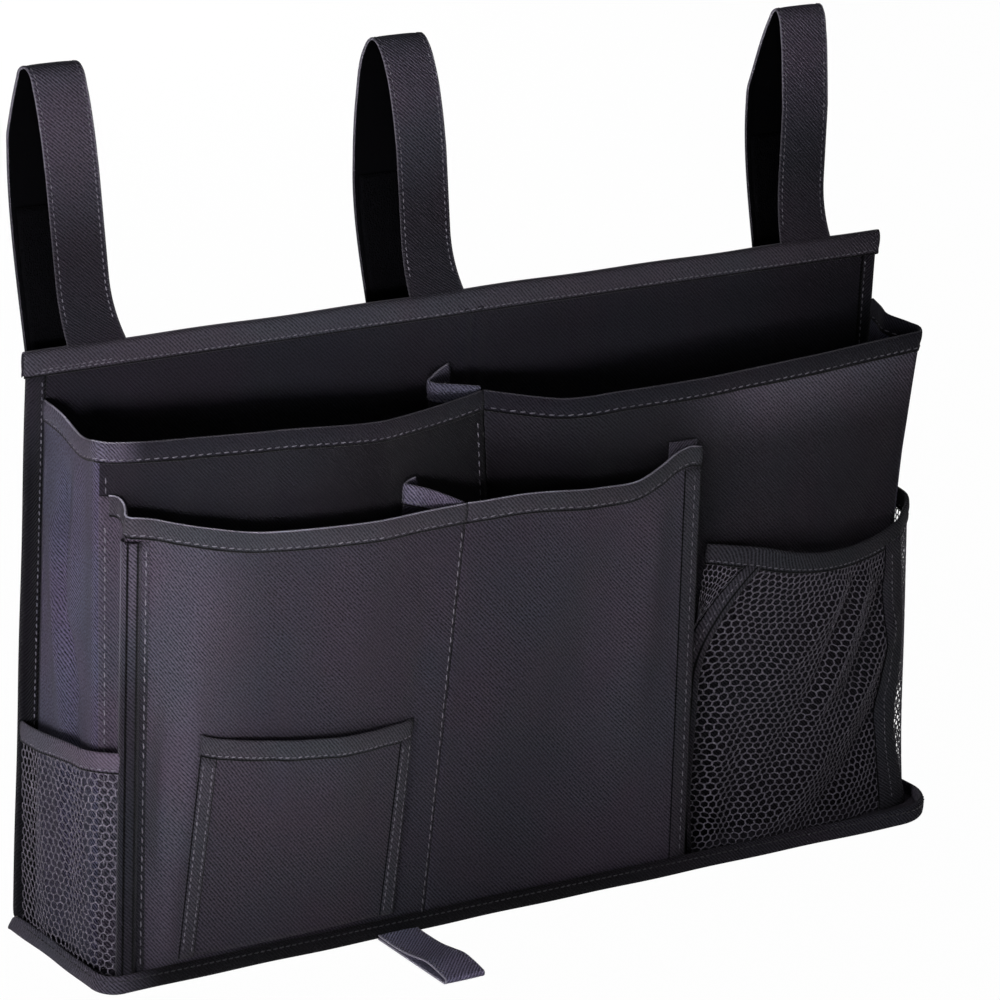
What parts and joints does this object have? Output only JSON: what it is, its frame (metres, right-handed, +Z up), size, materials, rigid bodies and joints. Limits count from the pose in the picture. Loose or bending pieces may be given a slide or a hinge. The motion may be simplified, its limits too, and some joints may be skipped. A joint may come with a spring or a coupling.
{
  "type": "bedside caddy",
  "caption": "Hanging fabric bedside organizer with layered cloth pockets, net pockets, strap loops over a rail and a stiffened base",
  "frame": {"origin": "the middle of the underside of the base, on the surface that it stands on", "axes": "+X to the right seen from the front, +Y to the rear face that lies against the bed, +Z up"},
  "size_m": [0.6156, 0.2205, 0.519],
  "materials": {
    "twill": "matte twill",
    "binding": "matte folded tape",
    "net": "open hexagonal net",
    "hook_and_loop": "matte hook and loop tape",
    "board": "plain board"
  },
  "bodies": {
    "bag": {"base_lower_cloth": "twill", "base_board": "board", "base_upper_cloth": "twill", "base_binding": "binding", "back_front_cloth": "twill", "back_board": "board", "back_rear_cloth": "twill", "top_binding": "binding", "left_edge_binding": "binding", "right_edge_binding": "binding", "main_pocket_left": "twill", "main_pocket_right": "twill", "main_hem_left": "binding", "main_hem_right": "binding", "main_divider": "twill", "main_divider_hem": "binding", "front_pocket_left": "twill", "front_pocket_right": "twill", "front_hem_left": "binding", "front_hem_right": "binding", "front_divider": "twill", "front_divider_hem": "binding", "front_right_gusset": "twill", "front_left_tape": "binding", "front_right_tape": "binding", "patch_pocket": "twill", "patch_hem": "binding", "patch_left_tape": "binding", "patch_right_tape": "binding", "left_net": "net", "left_net_hem": "binding", "right_net_gusset": "net", "right_net_front": "net", "right_net_side": "net", "right_net_hem": "binding", "right_net_left_tape": "binding", "right_net_right_tape": "binding", "left_loop_patch": "hook_and_loop", "middle_loop_patch": "hook_and_loop", "right_loop_patch": "hook_and_loop"},
    "left_strap": {"left_strap_leg": "twill"},
    "left_tail": {"left_strap_tail": "twill", "left_hook_tape": "hook_and_loop"},
    "middle_strap": {"middle_strap_leg": "twill"},
    "middle_tail": {"middle_strap_tail": "twill", "middle_hook_tape": "hook_and_loop"},
    "right_strap": {"right_strap_leg": "twill"},
    "right_tail": {"right_strap_tail": "twill", "right_hook_tape": "hook_and_loop"},
    "tab": {"pull_tab": "twill"}
  },
  "joints": [
    {"name": "left_strap_swing", "type": "hinge", "parent": "bag", "child": "left_strap", "pos_m": [-0.262, 0.0511, 0.3551], "axis": [1, 0, 0], "range_deg": [0, 80]},
    {"name": "left_tail_peel", "type": "hinge", "parent": "left_strap", "child": "left_tail", "pos_m": [-0.283, 0.066, 0.519], "axis": [1, 0, 0], "range_deg": [0, 150]},
    {"name": "middle_strap_swing", "type": "hinge", "parent": "bag", "child": "middle_strap", "pos_m": [-0.031, 0.0511, 0.3551], "axis": [1, 0, 0], "range_deg": [0, 80]},
    {"name": "middle_tail_peel", "type": "hinge", "parent": "middle_strap", "child": "middle_tail", "pos_m": [-0.048, 0.066, 0.511], "axis": [1, 0, 0], "range_deg": [0, 150]},
    {"name": "right_strap_swing", "type": "hinge", "parent": "bag", "child": "right_strap", "pos_m": [0.241, 0.0511, 0.3551], "axis": [1, 0, 0], "range_deg": [0, 80]},
    {"name": "right_tail_peel", "type": "hinge", "parent": "right_strap", "child": "right_tail", "pos_m": [0.238, 0.066, 0.503], "axis": [1, 0, 0], "range_deg": [0, 150]},
    {"name": "tab_lift", "type": "hinge", "parent": "bag", "child": "tab", "pos_m": [-0.104, -0.0577, 0.0034], "axis": [-1, 0, 0], "range_deg": [0, 85]}
  ]
}
